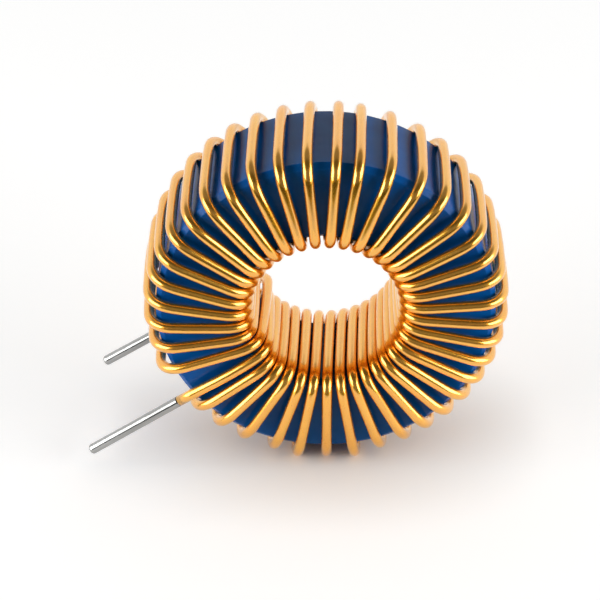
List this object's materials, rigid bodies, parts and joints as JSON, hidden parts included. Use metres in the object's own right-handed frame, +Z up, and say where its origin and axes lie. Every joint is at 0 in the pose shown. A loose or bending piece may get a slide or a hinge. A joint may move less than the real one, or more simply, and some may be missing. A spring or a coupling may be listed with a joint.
{
  "type": "toroidal inductor",
  "caption": "Toroidal inductor: enamelled copper wire wound in one layer through a coated ring core, with two tinned wire leads.",
  "frame": {"origin": "middle of the whole part's footprint, on the surface under the lowest turns", "axes": "+X to the right seen from the front, away from the leads; +Y away along the ring's axis; +Z up"},
  "size_m": [0.0416, 0.0146, 0.0359],
  "materials": {
    "pressed_powder": "pressed iron powder, matt grey, sealed under the coating",
    "blue_epoxy": "glossy blue epoxy coating with a slight ripple",
    "enamelled_copper": "copper under clear amber enamel, glossy",
    "solder": "dipped tin solder, bright, slightly uneven"
  },
  "bodies": {
    "root": {"powder_core": "pressed_powder", "core_coating": "blue_epoxy", "winding": "enamelled_copper", "front_lead_solder": "solder", "rear_lead_solder": "solder"}
  },
  "joints": []
}
